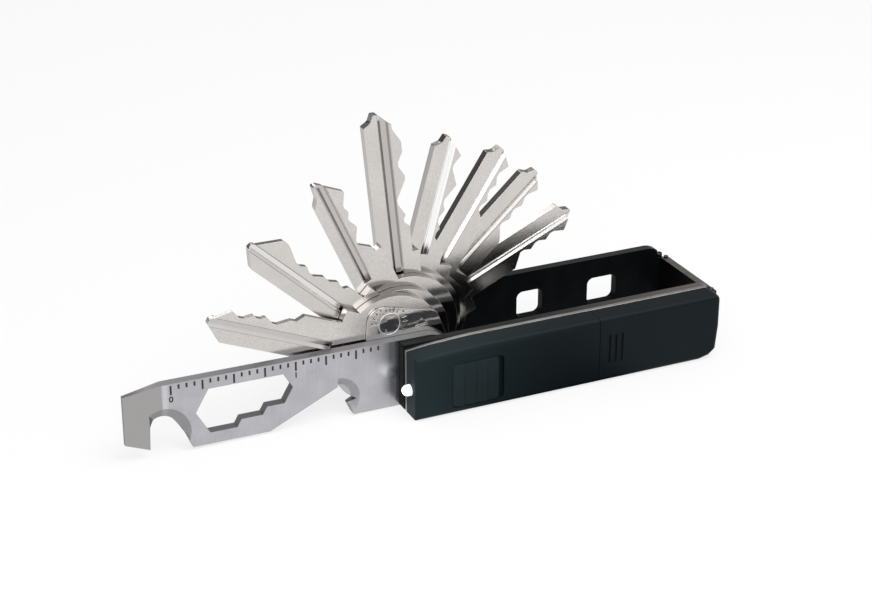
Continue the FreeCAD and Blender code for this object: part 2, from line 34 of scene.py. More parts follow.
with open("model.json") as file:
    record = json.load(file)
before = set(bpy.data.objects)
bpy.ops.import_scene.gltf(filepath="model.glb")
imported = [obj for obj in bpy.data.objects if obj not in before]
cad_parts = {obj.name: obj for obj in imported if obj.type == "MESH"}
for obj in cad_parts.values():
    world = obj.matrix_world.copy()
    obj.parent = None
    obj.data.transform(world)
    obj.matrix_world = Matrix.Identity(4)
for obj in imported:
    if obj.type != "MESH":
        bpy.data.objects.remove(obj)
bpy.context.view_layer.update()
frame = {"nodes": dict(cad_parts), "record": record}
nodes = frame["nodes"]
mm = 0.001
pivotHeight = 7.3
print("frame loaded:", len(nodes), "nodes")


# shader helpers
class Wire:
    # one output of a node; sums on it add Math nodes
    def __init__(self, finish, socket):
        self.finish = finish
        self.socket = socket

    def maths(self, operation, *values):
        return self.finish.node("ShaderNodeMath", {"operation": operation}, dict(enumerate(values)))

    def __add__(self, other):
        return self.maths("ADD", self, other)

    def __radd__(self, other):
        return self.maths("ADD", other, self)

    def __sub__(self, other):
        return self.maths("SUBTRACT", self, other)

    def __rsub__(self, other):
        return self.maths("SUBTRACT", other, self)

    def __mul__(self, other):
        return self.maths("MULTIPLY", self, other)

    def __rmul__(self, other):
        return self.maths("MULTIPLY", other, self)

    def __abs__(self):
        return self.maths("ABSOLUTE", self)


class Finish:
    # a material, or the world, and the nodes in it
    def __init__(self, owner):
        self.owner = owner
        owner.use_nodes = True
        self.tree = owner.node_tree
        self.tree.nodes.clear()

    def node(self, kind, settings=None, inputs=None, output=0):
        made = self.tree.nodes.new(kind)
        for name, value in (settings or {}).items():
            setattr(made, name, value)
        for name, value in (inputs or {}).items():
            if isinstance(value, Wire):
                self.tree.links.new(value.socket, made.inputs[name])
            else:
                made.inputs[name].default_value = value
        return Wire(self, made.outputs[output]) if len(made.outputs) else None

    def mix(self, amount, first, second):
        # sockets 0, 6, 7 and 2 are the factor, the two colours and the mixed colour
        return self.node("ShaderNodeMix", {"data_type": "RGBA"},
                         {0: amount, 6: tint(first), 7: tint(second)}, 2)

    def mottled(self, at, scale, dark, light, band=(0.35, 0.65)):
        # dark and light in soft patches
        return self.mix(self.ramp(self.noise(at, scale, detail=3), *band), dark, light)

    def place(self, centre=(0, 0, 0), turn=0.0):
        # Object coordinates in millimetres from a centre, turned about Y
        at = self.node("ShaderNodeTexCoord", output="Object")
        moved = self.node("ShaderNodeMapping", {"vector_type": "POINT"},
                          {"Vector": at, "Location": tuple(-c for c in centre), "Scale": (1 / mm,) * 3})
        return self.node("ShaderNodeMapping", {"vector_type": "POINT"},
                         {"Vector": moved, "Rotation": (0, turn, 0)})

    def stretched(self, at, factors):
        return self.node("ShaderNodeVectorMath", {"operation": "MULTIPLY"}, {0: at, 1: factors})

    def along(self, at, direction):
        return self.node("ShaderNodeVectorMath", {"operation": "DOT_PRODUCT"}, {0: at, 1: direction}, "Value")

    def distance(self, at):
        return self.node("ShaderNodeVectorMath", {"operation": "LENGTH"}, {0: at}, "Value")

    def noise(self, at, scale, detail=2.0, rough=0.5):
        return self.node("ShaderNodeTexNoise", {"noise_dimensions": "3D"},
                         {"Vector": at, "Scale": scale, "Detail": detail, "Roughness": rough})

    def ramp(self, value, low, high, fromLevel=0.0, toLevel=1.0, smooth=False):
        return self.node("ShaderNodeMapRange",
                         {"clamp": True, "interpolation_type": "SMOOTHSTEP" if smooth else "LINEAR"},
                         {"Value": value, "From Min": low, "From Max": high,
                          "To Min": fromLevel, "To Max": toLevel})

    def turnedTo(self, direction):
        # 1 where the surface looks along the direction, -1 where it looks the other way
        return self.along(self.node("ShaderNodeNewGeometry", output="Normal"), direction)

    def bump(self, height, strength, distance=1.0):
        return self.node("ShaderNodeBump", None,
                         {"Height": height, "Strength": strength, "Distance": distance * mm})

    def surface(self, inputs):
        shader = self.node("ShaderNodeBsdfPrincipled", None,
                           {name: tint(value) for name, value in inputs.items()})
        self.node("ShaderNodeOutputMaterial", None, {"Surface": shader})
        return self.owner


def tint(value):
    return (*value, 1) if isinstance(value, tuple) and len(value) == 3 else value


def newFinish(name):
    return Finish(bpy.data.materials.new(name))


def addObject(name, mesh):
    made = bpy.data.objects.new(name, mesh)
    bpy.context.scene.collection.objects.link(made)
    return made


def meshFrom(bm, name):
    mesh = bpy.data.meshes.new(name)
    bm.to_mesh(mesh)
    bm.free()
    return mesh


# camera
camera = {
    "place": (-142.44, -316.91, 184.06),
    "ahead": (0.37513, 0.82586, -0.42099),
    "right": (0.91007, -0.41445, -0.0021),
    "lens": 79.8,
    "sensor": 36.0,
    "clip": (0.01, 20),
}


def placeCamera(spec):
    data = bpy.data.cameras.new("camera")
    data.lens = spec["lens"]
    data.sensor_width = spec["sensor"]
    data.clip_start, data.clip_end = spec["clip"]
    made = addObject("camera", data)
    back = -Vector(spec["ahead"]).normalized()
    up = back.cross(Vector(spec["right"])).normalized()
    turn = Matrix((up.cross(back), up, back)).transposed().to_4x4()
    made.matrix_world = Matrix.Translation(Vector(spec["place"]) * mm) @ turn
    bpy.context.scene.camera = made


placeCamera(camera)
print("camera placed")

# studio
studio = {
    "floorSize": 3.0,
    "floorDrop": 0.02,
    "floorColour": (0.86, 0.86, 0.86),
    "floorGlow": 0.74,
    "worldLevel": 0.55,
    "worldGlossy": 0.8,
    "screenAhead": (0.6, 0.72),
    "screenTop": (0.5, 0.58),
    "screenLeft": (-0.8, -0.6),
    "screenRun": (-0.3, 0.3, 0.1, 0.3),
    "cardPlace": (22.5, -13.5),
    "cardReach": (22, 20),
    "cardSlant": -0.45,
    "cardSoft": 0.35,
}
softboxes = [
    {"name": "topBox", "place": (190, -170, 560), "aim": (10, 10, 10), "size": (480, 420), "watts": 2.4},
    {"name": "backBox", "place": (4, 431, 305), "aim": (35, 19, 25), "size": (90, 90), "watts": 0.09},
    {"name": "frontBox", "place": (-260, -520, 320), "aim": (10, 10, 10), "size": (420, 420), "watts": 1.5},
]


def rayKinds(finish):
    # whether the ray comes from the camera, from a mirror-like surface, or through glass
    kinds = ("Is Camera Ray", "Is Glossy Ray", "Is Transmission Ray")
    return [finish.node("ShaderNodeLightPath", output=kind) for kind in kinds]


def makeFloor(spec):
    bm = bmesh.new()
    bmesh.ops.create_grid(bm, x_segments=1, y_segments=1, size=spec["floorSize"] / 2)
    bmesh.ops.translate(bm, verts=bm.verts, vec=(0, 0, -spec["floorDrop"] * mm))
    mesh = meshFrom(bm, "studioFloor")
    finish = newFinish("palePaper")
    seen, glossy, through = rayKinds(finish)
    # a dark card in front of the case, which only the polished metal shows
    x, y = spec["cardPlace"]
    wide, deep = spec["cardReach"]
    at = finish.place((x, y, 0))
    across = finish.along(at, (1 / wide, 0, 0))
    ahead = finish.along(at, (spec["cardSlant"] / deep, 1 / deep, 0))
    reach = finish.distance(finish.node("ShaderNodeCombineXYZ", None, {"X": across, "Y": ahead}))
    card = finish.ramp(reach, 1 - spec["cardSoft"], 1 + spec["cardSoft"], 1, 0, smooth=True) * glossy
    white, black = (1, 1, 1), (0, 0, 0)
    paperColour = finish.mix(card, spec["floorColour"], black)
    paper = finish.node("ShaderNodeBsdfDiffuse", None, {"Color": paperColour})
    glow = finish.node("ShaderNodeEmission", None, {"Color": finish.mix(card, white, black)})
    both = finish.node("ShaderNodeMixShader", None,
                       {0: (seen + glossy + through) * spec["floorGlow"], 1: paper, 2: glow})
    finish.node("ShaderNodeOutputMaterial", None, {"Surface": both})
    mesh.materials.append(finish.owner)
    addObject("studioFloor", mesh)


def makeWorld(spec):
    world = bpy.data.worlds.new("studioWorld")
    bpy.context.scene.world = world
    finish = Finish(world)
    seen, glossy, through = rayKinds(finish)
    # a dark screen low behind the object, darker towards the left, which only mirrors show
    direction = finish.node("ShaderNodeTexCoord", output="Generated")
    sideways, ahead, upwards = (finish.along(direction, axis) for axis in ((1, 0, 0), (0, 1, 0), (0, 0, 1)))
    screen = finish.ramp(ahead, *spec["screenAhead"]) * finish.ramp(upwards, *spec["screenTop"], 1, 0)
    screen = screen * finish.ramp(sideways, *spec["screenLeft"])
    mirrored = spec["worldGlossy"] * (1 - screen) + finish.ramp(sideways, *spec["screenRun"]) * screen
    level = seen + through + glossy * mirrored + (1 - seen - glossy - through) * spec["worldLevel"]
    back = finish.node("ShaderNodeBackground", None, {"Color": (1, 1, 1, 1), "Strength": level})
    finish.node("ShaderNodeOutputWorld", None, {"Surface": back})


def makeSoftbox(spec):
    data = bpy.data.lights.new(spec["name"], "AREA")
    data.shape = "RECTANGLE"
    data.size = spec["size"][0] * mm
    data.size_y = spec["size"][1] * mm
    data.energy = spec["watts"]
    made = addObject(spec["name"], data)
    place = Vector(spec["place"]) * mm
    aim = Vector(spec["aim"]) * mm
    turn = (aim - place).to_track_quat("-Z", "Y").to_matrix().to_4x4()
    made.matrix_world = Matrix.Translation(place) @ turn
    made.visible_camera = False


makeFloor(studio)
makeWorld(studio)
for box in softboxes:
    makeSoftbox(box)
bpy.context.scene.view_settings.view_transform = "Standard"
print("studio lit")


# finishes
def shifted(pair, by):
    # a pair holds where a change starts and ends; two more numbers after it are the values there
    return [value + by for value in pair]


keyFinish = {
    "light": (0.69, 0.66, 0.635),
    "dark": (0.64, 0.61, 0.585),
    "speck": (0.34, 0.33, 0.32),
    "shadedWall": (0.42, 0.4, 0.39),
    "line": (0.08, 0.076, 0.072),
    "mottleScale": 0.16,
    "grainScale": 4.6,
    "grainBand": (0.42, 0.62, 0.0, 0.38),
    "lineStretch": (0.05, 1.0, 4.5),
    "flatBand": (0.4, 0.7),
    "frontBand": (-0.6, -0.4),
    "roughness": 0.12,
    "lineRoughness": 0.09,
    "wallRoughness": 0.05,
    "lineHeight": 0.012,
    "grainHeight": 0.01,
    "bump": 0.6,
    "headReach": (14.0, 24.0),
    "headPolish": (0.5, 1.0),
}
# the cut of a groove: lengths from its low side, its high side and its root; its floor and slope are painted
# brighter as a painted highlight, and fine lines of painted shade run beside it
grooveFinish = {
    "lowShadeLine": (-0.2, -0.14),
    "lowBorder": (-0.06, 0.0),
    "slopeStart": (-0.75, -0.65),
    "highBorder": (-0.05, 0.05),
    "highShadeLine": (0.05, 0.12),
    "runOut": (0.0, 2.5),
    "rootStart": (-0.1, 0.1),
    "rootEnd": (0.8, 1.8),
    "rootShade": 0.75,
    "grooveHighlight": 0.9,
    "tintPowers": (1.0, 1.06, 1.1),  # the darker a grey, the warmer
}
# lean of each key; low side, high side and root of its groove; how far its painted highlight reaches past the
# low side; the grey of the painted highlight on its floor and slope; how dark the painted shade lines beside
# it are
keySpecs = [
    {"lean": 157.4, "groove": (-0.3, 1.45, 21.0), "reach": 0.05, "floor": 0.52, "slope": 0.72, "line": 0.5},
    {"lean": 137.2, "groove": (0.1, 1.65, 20.2), "reach": 0.05, "floor": 0.76, "slope": 0.72, "line": 0.8},
    {"lean": 113.9, "groove": (0.8, 2.4, 20.5), "reach": 0.05, "floor": 0.5, "slope": 0.6, "line": 0.55},
    {"lean": 95.5, "groove": (-0.6, 1.5, 15.4), "reach": 0.05, "floor": 0.48, "slope": 0.64, "line": 0.4},
    {"lean": 74.5, "groove": (0.7, 2.0, 20.3), "reach": 0.45, "floor": 1.0, "slope": 1.0, "line": 0.0},
    {"lean": 56.9, "groove": (0.7, 1.8, 18.4), "reach": 0.08, "floor": 1.0, "slope": 0.6, "line": 0.25},
    {"lean": 42.4, "groove": (0.4, 1.7, 19.2), "reach": 0.05, "floor": 0.56, "slope": 0.72, "line": 0.6},
    {"lean": 24.5, "groove": (0.5, 1.9, 18.6), "reach": 0.1, "floor": 1.0, "slope": 0.7, "line": 0.5},
]


def makeKeyFinish(index, key, spec, cut):
    # nickel silver, milled along the blade; the groove is painted brighter as a painted highlight, between
    # two fine lines of painted shade
    finish = newFinish("keyNickel" + str(index))
    at = finish.place((0, 0, pivotHeight), radians(key["lean"]))
    run = finish.along(at, (1, 0, 0))
    across = finish.along(at, (0, 0, 1))
    grain = finish.noise(at, spec["grainScale"], detail=4, rough=0.8)
    lines = finish.noise(finish.stretched(at, spec["lineStretch"]), 1.0, detail=3, rough=0.6)
    flat = finish.ramp(abs(finish.turnedTo((0, 1, 0))), *spec["flatBand"])
    inFront = finish.ramp(finish.turnedTo((0, -1, 0)), *spec["frontBand"])

    low, high, root = key["groove"]
    start = low - key["reach"]
    milled = finish.ramp(run, *shifted(cut["runOut"], root)) * inFront
    pastLow = finish.ramp(across, *shifted(cut["lowBorder"], start))
    inGroove = pastLow * finish.ramp(across, *shifted(cut["highBorder"], high), 1, 0)
    onSlope = finish.ramp(across, *shifted(cut["slopeStart"], high))
    # painted shade: fine dark lines along both borders of the groove
    shadeBesideLow = finish.ramp(across, *shifted(cut["lowShadeLine"], start)) * (1 - pastLow)
    shadeBesideHigh = finish.ramp(abs(across - high), *cut["highShadeLine"], 1, 0)
    onShadeLine = (shadeBesideLow + shadeBesideHigh) * milled * key["line"]
    pastRoot = finish.ramp(run, *shifted(cut["rootStart"], root))
    shadowAtRoot = pastRoot * finish.ramp(run, *shifted(cut["rootEnd"], root), 1, 0) * inGroove * inFront
    floor, slope = (tuple(key[part] ** power for power in cut["tintPowers"]) for part in ("floor", "slope"))

    face = finish.mottled(at, spec["mottleScale"], spec["dark"], spec["light"])
    face = finish.mix(finish.ramp(grain, *spec["grainBand"]), face, spec["speck"])
    face = finish.mix(onShadeLine, face, spec["line"])
    # painted shade: the key's side walls get a darker grey than its faces
    colour = finish.mix(flat, spec["shadedWall"], face)
    # painted highlight: the groove's floor and slope get a brighter grey
    colour = finish.mix(inGroove * milled * cut["grooveHighlight"], colour, finish.mix(onSlope, floor, slope))
    # painted shadow at the root end of the groove
    colour = finish.mix(shadowAtRoot * cut["rootShade"], colour, spec["line"])
    rough = spec["roughness"] + spec["lineRoughness"] * lines + (1 - flat) * spec["wallRoughness"]
    # heads are polished by the turning of their neighbours
    polishAndSheen = finish.ramp(finish.distance(at), *spec["headReach"], *spec["headPolish"])
    height = (lines * spec["lineHeight"] + grain * spec["grainHeight"]) * polishAndSheen
    return finish.surface({"Base Color": colour, "Metallic": 1.0, "Roughness": rough * polishAndSheen,
                           "Normal": finish.bump(height, spec["bump"])})


toolFinish = {
    "lean": -0.5,
    "face": (0.53, 0.53, 0.555),
    "faceDark": (0.46, 0.46, 0.485),
    "brushed": (0.36, 0.365, 0.38),
    "speck": (0.25, 0.25, 0.255),
    "tip": (0.375, 0.37, 0.365),
    "shadedWall": (0.175, 0.175, 0.18),
    "top": (0.31, 0.31, 0.32),
    "polishAndSheen": (0.75, 0.75, 0.8),
    "mottleScale": 0.2,
    "brushStretch": (5.0, 1.0, 0.08),
    "brushBand": (0.3, 0.7, 0.0, 0.25),
    "grainScale": 6.0,
    "grainBand": (0.35, 0.75, 0.0, 0.2),
    "flatBand": (0.8, 0.97),
    "topBand": (6.3, 6.8),
    "tipStart": 55.2,
    "tipBorder": (-0.3, 0.3),
    "sheenStart": (-1.3, -0.78),
    "sheenEnd": (-0.1, 0.25),
    "sheenDepth": 0.45,
    "roughness": 0.17,
    "brushRoughness": 0.12,
    "wallRoughness": 0.2,
    "brushHeight": 0.02,
    "grainHeight": 0.012,
    "bump": 0.7,
}


def makeToolFinish(spec):
    # stainless steel brushed across its length; the tip is ground coarser, past a border painted brighter as
    # a painted highlight
    finish = newFinish("toolSteel")
    at = finish.place((0, 0, pivotHeight), radians(spec["lean"]))
    length = finish.along(at, (-1, 0, 0))
    brush = finish.noise(finish.stretched(at, spec["brushStretch"]), 1.0, detail=4, rough=0.65)
    grain = finish.noise(at, spec["grainScale"], detail=4, rough=0.75)
    flat = finish.ramp(abs(finish.turnedTo((0, 1, 0))), *spec["flatBand"])
    onTop = finish.ramp(finish.along(at, (0, 0, 1)), *spec["topBand"])
    onTip = finish.ramp(length, *shifted(spec["tipBorder"], spec["tipStart"]))
    pastSheen = finish.ramp(length, *shifted(spec["sheenStart"], spec["tipStart"]))
    polishAndSheen = pastSheen * finish.ramp(length, *shifted(spec["sheenEnd"], spec["tipStart"]), 1, 0)

    face = finish.mottled(at, spec["mottleScale"], spec["faceDark"], spec["face"])
    face = finish.mix(finish.ramp(brush, *spec["brushBand"]), face, spec["brushed"])
    face = finish.mix(onTip, face, spec["tip"])
    # painted highlight: a bright strip along the rounded border where the tip begins
    face = finish.mix(polishAndSheen * spec["sheenDepth"], face, spec["polishAndSheen"])
    face = finish.mix(finish.ramp(grain, *spec["grainBand"]), face, spec["speck"])
    # painted shade: the tool's walls and its top face get darker greys than its front and back
    colour = finish.mix(flat, finish.mix(onTop, spec["shadedWall"], spec["top"]), face)
    rough = spec["roughness"] + spec["brushRoughness"] * brush + (1 - flat) * spec["wallRoughness"]
    height = brush * spec["brushHeight"] + grain * spec["grainHeight"]
    return finish.surface({"Base Color": colour, "Metallic": 1.0, "Roughness": rough,
                           "Normal": finish.bump(height, spec["bump"])})


turnedSteel = {
    "light": (0.6, 0.6, 0.59),
    "dark": (0.54, 0.54, 0.535),
    "mottleScale": 0.5,
    "rings": 5.0,
    "roughness": 0.2,
    "ringRoughness": 0.12,
    "ringHeight": 0.01,
    "bump": 0.6,
}
rolledSteel = {
    **turnedSteel,
    "light": (0.42, 0.42, 0.41),
    "dark": (0.33, 0.33, 0.32),
    "rings": 1.0,
    "roughness": 0.3,
}


def makeTurnedFinish(name, spec):
    # a turned or rolled steel part, with fine rings about the pivot axis
    finish = newFinish(name)
    at = finish.place((0, 0, pivotHeight))
    radius = finish.distance(finish.stretched(at, (1, 0, 1)))
    outwards = finish.node("ShaderNodeCombineXYZ", None, {"X": radius})
    ring = finish.noise(outwards, spec["rings"], detail=3, rough=0.6)
    colour = finish.mottled(at, spec["mottleScale"], spec["dark"], spec["light"])
    return finish.surface({"Base Color": colour, "Metallic": 1.0,
                           "Roughness": spec["roughness"] + spec["ringRoughness"] * ring,
                           "Normal": finish.bump(ring * spec["ringHeight"], spec["bump"])})


medallion = {
    "centre": (-7.15, 10.1),  # from the pivot, along the case and up
    "radius": 2.45,
    "band": 0.36,
    "proud": 0.07,
    "steps": 48,
    "roundSteps": 6,
}
hubFinish = {
    "light": (0.65, 0.625, 0.605),
    "dark": (0.58, 0.555, 0.54),
    "mottleScale": 0.4,
    "mottleBand": (0.3, 0.7),
    "roughness": 0.06,
    "mottleRoughness": 0.08,
    "waveHeight": 0.1,
    "waveScale": 0.17,
    "waveStretch": (1.0, 1.0, 1.7),
    "bump": 1.0,
    "rayCount": 22.0,
    "rayBand": (0.1, 0.8),
    "rayStart": (2.6, 2.8),
    "rayEnd": (3.7, 4.1),
    "raySide": (-0.6, -0.3),
    "rayGapScale": 0.6,
    "rayGaps": (0.4, 0.6),
    "rayShade": (0.12, 0.12, 0.12),
    "rayDarkness": 0.6,
    "rayDepth": 0.04,
}


def makeHubFinish(spec):
    # polished nickel, slightly wavy, with short struck rays round the medallion
    finish = newFinish("hubNickel")
    at = finish.place((0, 0, pivotHeight))
    wave = finish.noise(finish.stretched(at, spec["waveStretch"]), spec["waveScale"], detail=3, rough=0.5)
    mottle = finish.noise(at, spec["mottleScale"], detail=3)
    x, z = medallion["centre"]
    roundAt = finish.place((x, 0, pivotHeight + z))
    reach = finish.distance(finish.stretched(roundAt, (1, 0, 1)))
    angle = finish.node("ShaderNodeMath", {"operation": "ARCTAN2"},
                        {0: finish.along(roundAt, (0, 0, 1)), 1: finish.along(roundAt, (1, 0, 0))})
    spokes = finish.node("ShaderNodeMath", {"operation": "SINE"}, {0: angle * spec["rayCount"]})
    band = finish.ramp(reach, *spec["rayStart"]) * finish.ramp(reach, *spec["rayEnd"], 1, 0)
    gaps = finish.ramp(finish.noise(roundAt, spec["rayGapScale"], detail=2), *spec["rayGaps"])
    rays = finish.ramp(spokes, *spec["rayBand"]) * band * finish.ramp(angle, *spec["raySide"]) * gaps
    colour = finish.mix(finish.ramp(mottle, *spec["mottleBand"]), spec["dark"], spec["light"])
    colour = finish.mix(rays * spec["rayDarkness"], colour, spec["rayShade"])
    height = wave * spec["waveHeight"] - rays * spec["rayDepth"]
    return finish.surface({"Base Color": colour, "Metallic": 1.0,
                           "Roughness": spec["roughness"] + spec["mottleRoughness"] * mottle,
                           "Normal": finish.bump(height, spec["bump"])})


plateFinish = {
    "face": (0.002, 0.0028, 0.0032),
    "faceLight": (0.0035, 0.0045, 0.005),
    "mottleScale": 0.25,
    "edge": (0.27, 0.235, 0.215),
    "edgeUnlitAndScratched": (0.02, 0.02, 0.021),
    "edgeUp": (0.8, 0.97),
    "edgeSheenRun": (22.0, 62.0),
    "edgeLow": (10.0, 12.0),
    "edgeShadowLine": (-0.8, -0.55),
    "scratchStretch": (0.08, 6.0, 1.0),
    "scratchBand": (0.3, 0.7, 0.0, 0.35),
    "faceRoughness": 0.36,
    "edgeRoughness": 0.3,
    "grainScale": 9.0,
    "grainRoughness": 0.1,
    "grainHeight": 0.01,
    "bump": 0.25,
    "specular": 0.05,
}
farPlateFinish = {**plateFinish, "edge": (0.05, 0.05, 0.05), "specular": 0.03}


def makePlateFinish(name, spec):
    # black anodised sheet; its upper edge is bare metal from handling, painted brighter towards its right end
    # as a painted reflection, with its front strip left black as a painted shadow line
    finish = newFinish(name)
    at = finish.place()
    grain = finish.noise(at, spec["grainScale"], detail=3, rough=0.7)
    scratches = finish.noise(finish.stretched(at, spec["scratchStretch"]), 1.0, detail=3)
    run, across, up = (finish.along(at, axis) for axis in ((1, 0, 0), (0, 1, 0), (0, 0, 1)))
    rim = finish.ramp(finish.turnedTo((0, 0, 1)), *spec["edgeUp"]) * finish.ramp(up, *spec["edgeLow"])
    # painted shadow line: the front strip of the upper edge keeps the black face colour
    rim = rim * finish.ramp(across, *spec["edgeShadowLine"])
    face = finish.mottled(at, spec["mottleScale"], spec["face"], spec["faceLight"])
    # painted reflection: the bare edge runs from dark at its left end to bright towards its right; scratches
    # take the same dark colour
    edge = finish.mix(finish.ramp(run, *spec["edgeSheenRun"]), spec["edgeUnlitAndScratched"], spec["edge"])
    edge = finish.mix(finish.ramp(scratches, *spec["scratchBand"]), edge, spec["edgeUnlitAndScratched"])
    rough = finish.ramp(rim, 0, 1, spec["faceRoughness"], spec["edgeRoughness"])
    rough = rough + spec["grainRoughness"] * grain
    return finish.surface({"Base Color": finish.mix(rim, face, edge), "Metallic": rim, "Roughness": rough,
                           "Specular IOR Level": spec["specular"],
                           "Normal": finish.bump(grain, spec["bump"], spec["grainHeight"])})


moduleFinish = {
    "left": (0.01, 0.0185, 0.0215),
    "right": (0.0024, 0.0058, 0.0072),
    "run": (-6.0, 30.0),
    "mottle": (0.006, 0.009, 0.0105),
    "mottleScale": 0.12,
    "mottleBand": (0.35, 0.65, 0.0, 0.25),
    "roughness": 0.42,
    "grainRoughness": 0.12,
    "specular": 0.11,
    "grainScale": 7.0,
    "grainHeight": 0.02,
    "bump": 0.5,
}
sliderFinish = {**moduleFinish, "left": (0.0145, 0.0235, 0.0265), "right": (0.0085, 0.0155, 0.018)}


def makeModuleFinish(name, spec):
    # soft-touch black plastic with a faint blue-green cast, painted lighter towards the lamp end as a painted
    # glow of the lamp
    finish = newFinish(name)
    at = finish.place()
    grain = finish.noise(at, spec["grainScale"], detail=4, rough=0.7)
    mottle = finish.noise(at, spec["mottleScale"], detail=3)
    # painted light: the glow of the lamp on the plastic near the lens
    run = finish.ramp(finish.along(at, (1, 0, 0)), *spec["run"], smooth=True)
    colour = finish.mix(run, spec["left"], spec["right"])
    colour = finish.mix(finish.ramp(mottle, *spec["mottleBand"]), colour, spec["mottle"])
    return finish.surface({"Base Color": colour, "Metallic": 0.0, "Specular IOR Level": spec["specular"],
                           "Roughness": spec["roughness"] + spec["grainRoughness"] * grain,
                           "Normal": finish.bump(grain, spec["bump"], spec["grainHeight"])})


bridgeSteel = {
    "light": (0.19, 0.172, 0.155),
    "dark": (0.13, 0.118, 0.105),
    "side": (0.012, 0.012, 0.012),
    "mottleScale": 0.6,
    "mottleBand": (0.3, 0.7),
    "topBand": (0.2, 0.7),
    "lineStretch": (5.0, 0.1, 3.0),
    "metallic": 0.9,
    "roughness": 0.34,
    "lineRoughness": 0.12,
    "lineHeight": 0.02,
    "bump": 0.4,
}
pinSteel = {**bridgeSteel, "light": (0.06, 0.06, 0.06), "dark": (0.03, 0.03, 0.03), "roughness": 0.25}


def makeBridgeFinish(name, spec):
    # steel strip brushed across the case, black on its sides and worn bare on top
    finish = newFinish(name)
    at = finish.place()
    lines = finish.noise(finish.stretched(at, spec["lineStretch"]), 1.0, detail=3, rough=0.6)
    bare = finish.mottled(at, spec["mottleScale"], spec["dark"], spec["light"], spec["mottleBand"])
    colour = finish.mix(finish.ramp(finish.turnedTo((0, 0, 1)), *spec["topBand"]), spec["side"], bare)
    return finish.surface({"Base Color": colour, "Metallic": spec["metallic"],
                           "Roughness": spec["roughness"] + spec["lineRoughness"] * lines,
                           "Normal": finish.bump(lines, spec["bump"], spec["lineHeight"])})


# small inner parts: name, light and dark of the flecks, roughness
innerFinishes = {
    "board": ("boardGreen", (0.04, 0.24, 0.09), (0.02, 0.15, 0.06), 0.35),
    "switch": ("switchBlack", (0.03, 0.03, 0.03), (0.015, 0.015, 0.015), 0.4),
    "chip": ("chipYellow", (0.9, 0.82, 0.3), (0.8, 0.7, 0.2), 0.4),
}
flecking = {"scale": 2.5, "band": (0.35, 0.65), "roughness": 0.1, "height": 0.02, "bump": 0.3}


def makeInnerFinish(name, light, dark, roughness, spec):
    finish = newFinish(name)
    flecks = finish.noise(finish.place(), spec["scale"], detail=3, rough=0.6)
    colour = finish.mix(finish.ramp(flecks, *spec["band"]), dark, light)
    return finish.surface({"Base Color": colour, "Metallic": 0.0,
                           "Roughness": roughness + spec["roughness"] * flecks,
                           "Normal": finish.bump(flecks, spec["bump"], spec["height"])})


lampFinish = {
    "glass": (0.9, 0.9, 0.9),
    "colour": (1.0, 1.0, 1.0),
    "edge": (0.75, 0.8, 0.85),
    "edgeBand": (0.8, 1.2),
    "shade": (0.02, 0.02, 0.02),
    "shadeBand": (0.1, 0.6),
    "roughness": 0.08,
    "glow": 1.0,
}


def makeLampFinish(spec):
    # the lit lens, brightest in its middle
    finish = newFinish("ledLit")
    lo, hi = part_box("led_lens")
    centre = [(a + b) / 2 / mm for a, b in zip(lo, hi)]
    reach = finish.distance(finish.stretched(finish.place(centre), (0, 1, 1)))
    colour = finish.mix(finish.ramp(reach, *spec["edgeBand"]), spec["colour"], spec["edge"])
    # the side next to the case is in the shade of the lamp's rim
    inwards = finish.turnedTo((0, 1, 0))
    colour = finish.mix(finish.ramp(inwards, *spec["shadeBand"]), colour, spec["shade"])
    return finish.surface({"Base Color": spec["glass"], "Roughness": spec["roughness"],
                           "Emission Color": colour, "Emission Strength": spec["glow"]})


inkFinish = {
    "dark": (0.012, 0.012, 0.014),
    "light": (0.035, 0.035, 0.038),
    "grainScale": 6.0,
    "grainBand": (0.35, 0.7),
    "metallic": 0.3,
    "roughness": 0.5,
    "grainRoughness": 0.2,
}


def makeInkFinish(spec):
    # laser-darkened marks on the steel
    finish = newFinish("markBlack")
    grain = finish.noise(finish.place(), spec["grainScale"], detail=3, rough=0.7)
    colour = finish.mix(finish.ramp(grain, *spec["grainBand"]), spec["dark"], spec["light"])
    return finish.surface({"Base Color": colour, "Metallic": spec["metallic"],
                           "Roughness": spec["roughness"] + spec["grainRoughness"] * grain})


finishes = {
    "tool": makeToolFinish(toolFinish),
    "bright": makeTurnedFinish("turnedSteel", turnedSteel),
    "base": makeTurnedFinish("rolledSteel", rolledSteel),
    "hub": makeHubFinish(hubFinish),
    "plate": makePlateFinish("platedBlack", plateFinish),
    "farPlate": makePlateFinish("platedBlackFar", farPlateFinish),
    "bridge": makeBridgeFinish("bridgeSteel", bridgeSteel),
    "pin": makeBridgeFinish("pinSteel", pinSteel),
    "module": makeModuleFinish("softTouchBlack", moduleFinish),
    "slider": makeModuleFinish("softTouchSlider", sliderFinish),
    "lens": makeLampFinish(lampFinish),
    "ink": makeInkFinish(inkFinish),
}
for part, (name, light, dark, roughness) in innerFinishes.items():
    finishes[part] = makeInnerFinish(name, light, dark, roughness, flecking)
for index, key in enumerate(keySpecs, 1):
    finishes["key" + str(index)] = makeKeyFinish(index, key, keyFinish, grooveFinish)
slotFinish = {
    "black_anodised": "plate", "dark_steel": "bridge", "bright_steel": "bright", "tool_steel": "tool",
    "soft_black": "module", "switch_black": "switch", "clear_lens": "lens", "reflector_bright": "bright",
    "emitter_yellow": "chip", "board_green": "board", "cell_steel": "bright",
}
nodeFinish = {
    "hub_disc": "hub", "light_base_plate": "base", "bridge_pins": "pin", "far_side_plate": "farPlate",
    "slide_switch": "slider",
}
slots = {s["node"]: s["material_slot"] for s in frame["record"]["subparts"]}
